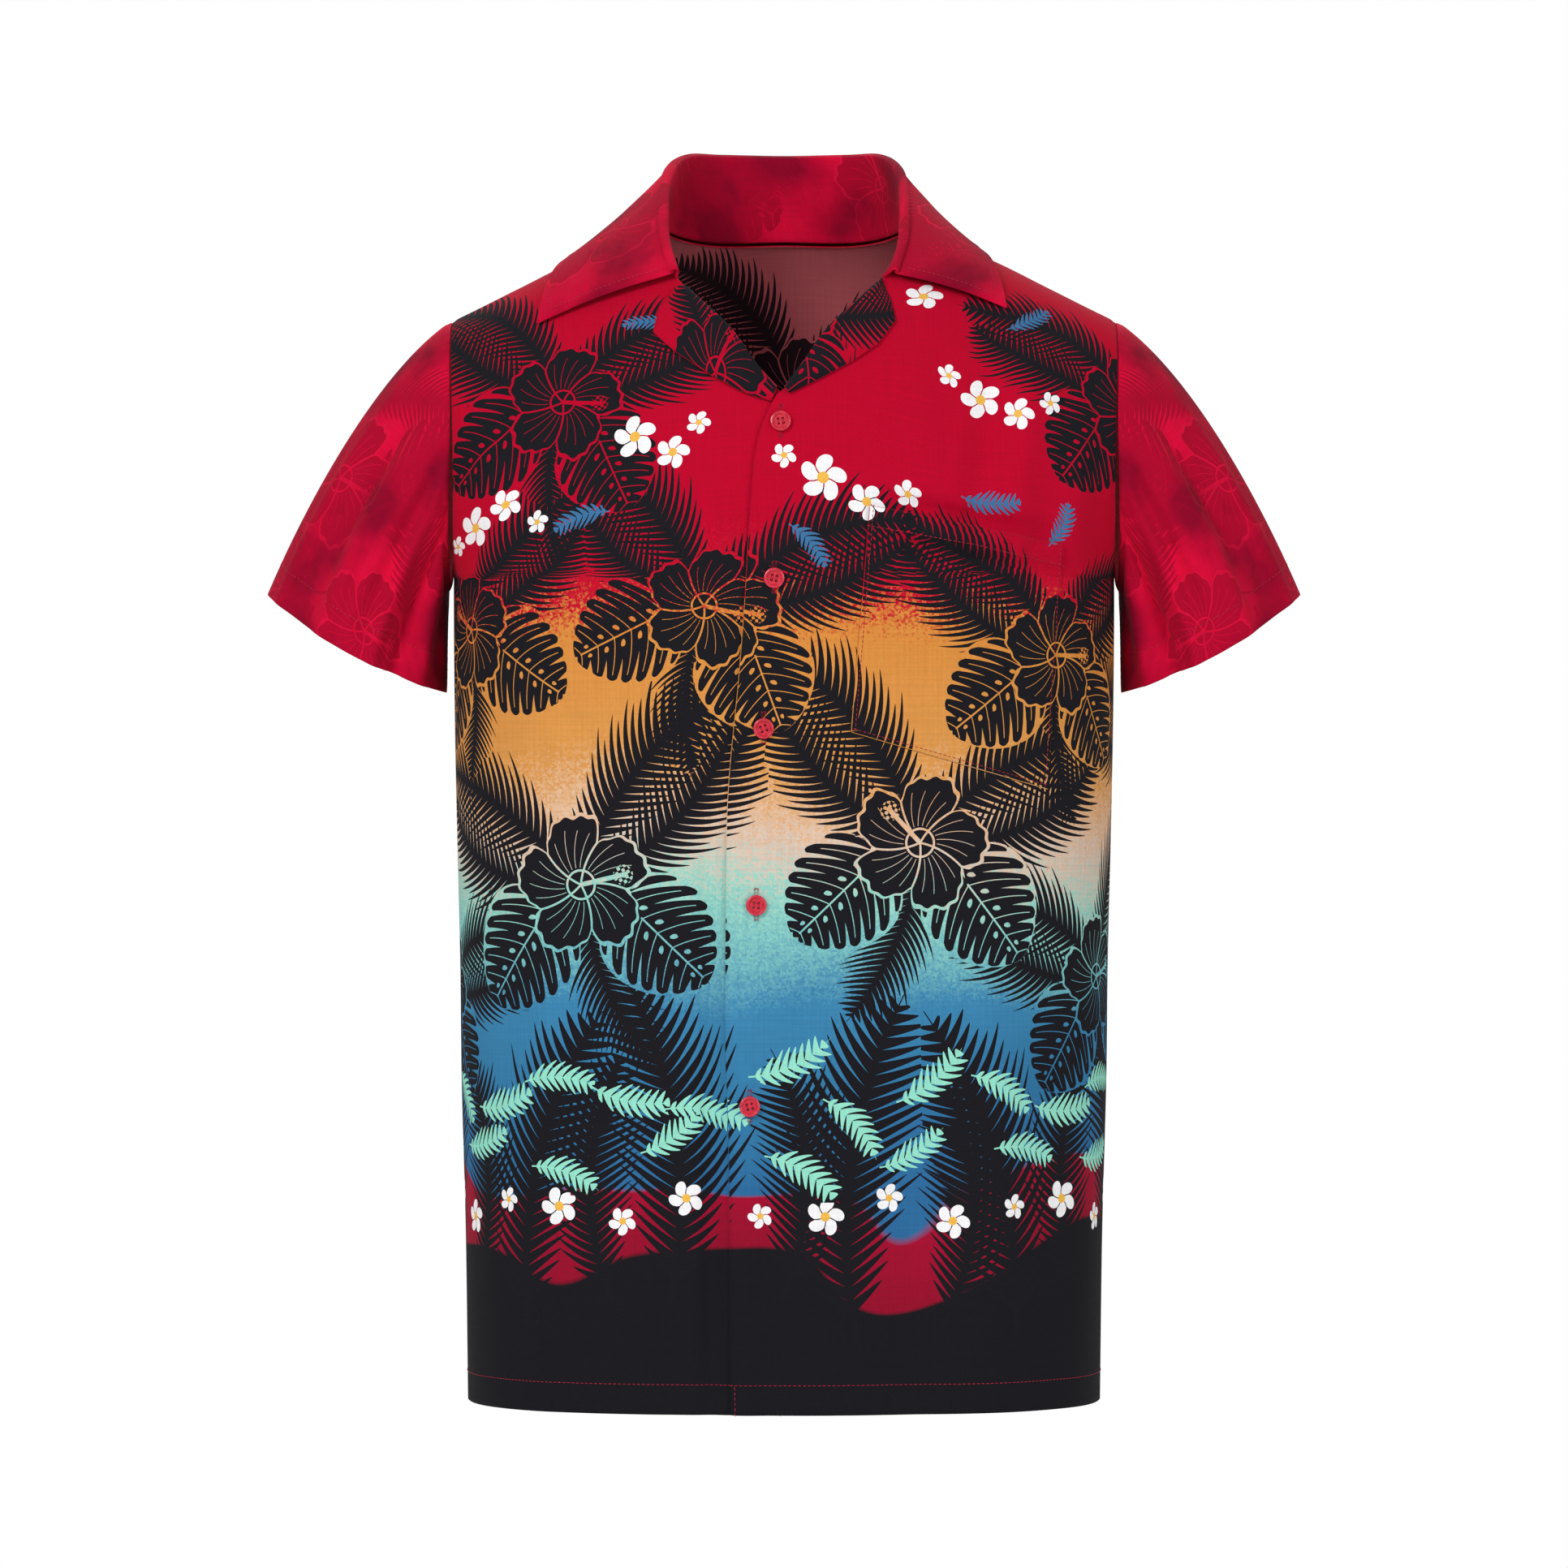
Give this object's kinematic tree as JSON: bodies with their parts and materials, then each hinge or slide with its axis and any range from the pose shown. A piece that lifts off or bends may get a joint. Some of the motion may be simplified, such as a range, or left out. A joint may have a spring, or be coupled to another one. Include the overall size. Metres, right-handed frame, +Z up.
{
  "type": "hawaiian shirt",
  "caption": "Short-sleeved camp-collar shirt with a patch pocket and a buttoned front, filled out as if worn, hollow and open at neck, cuffs and hem.",
  "frame": {"origin": "middle of the neck opening, level with the neck ends of the shoulder seams, where a wearer holds the shirt up", "axes": "+X to the wearer's left, front towards -Y, +Z up"},
  "size_m": [0.6538, 0.2747, 0.7923],
  "materials": {
    "printed_rayon": "plain-weave printed rayon, soft low sheen",
    "red_rayon": "plain-weave rayon in mottled reds, soft low sheen",
    "button_resin": "cast polyester resin, polished, slightly translucent"
  },
  "bodies": {
    "root": {"back": "printed_rayon", "left_front": "printed_rayon", "right_front": "printed_rayon", "left_facing": "printed_rayon", "right_facing": "printed_rayon", "collar": "red_rayon", "left_sleeve": "red_rayon", "right_sleeve": "red_rayon", "pocket": "printed_rayon", "button_1": "button_resin", "button_2": "button_resin", "button_3": "button_resin", "button_4": "button_resin", "button_5": "button_resin"}
  },
  "joints": []
}
